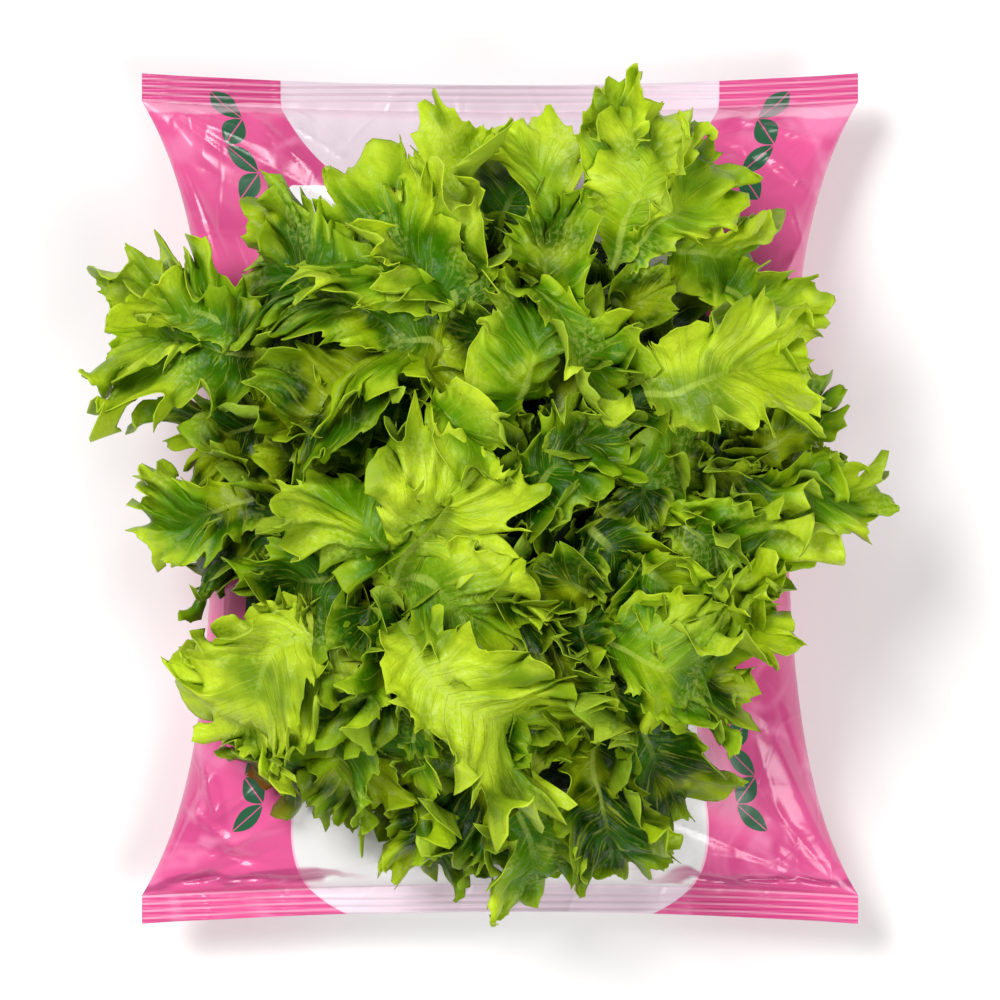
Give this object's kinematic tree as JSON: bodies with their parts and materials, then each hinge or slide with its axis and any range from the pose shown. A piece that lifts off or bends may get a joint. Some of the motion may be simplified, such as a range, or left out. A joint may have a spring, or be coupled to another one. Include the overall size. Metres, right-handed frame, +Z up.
{
  "type": "bag of salad leaves",
  "caption": "Shut pillow bag of printed film lying on its back, crimped at both ends, with a heap of frilly green lettuce leaves on its front.",
  "frame": {"origin": "under the middle of the bag, on the surface that it lies on", "axes": "+Z up out of the printed front, +Y towards the top seal, +X to the right of the front"},
  "size_m": [0.2645, 0.285, 0.1366],
  "materials": {
    "printed_film": "printed polypropylene film, glossy, pink with a lilac and a pale grey field",
    "lettuce": null
  },
  "bodies": {
    "root": {"salad_bag": "printed_film", "leaf_heap": "lettuce"}
  },
  "joints": []
}
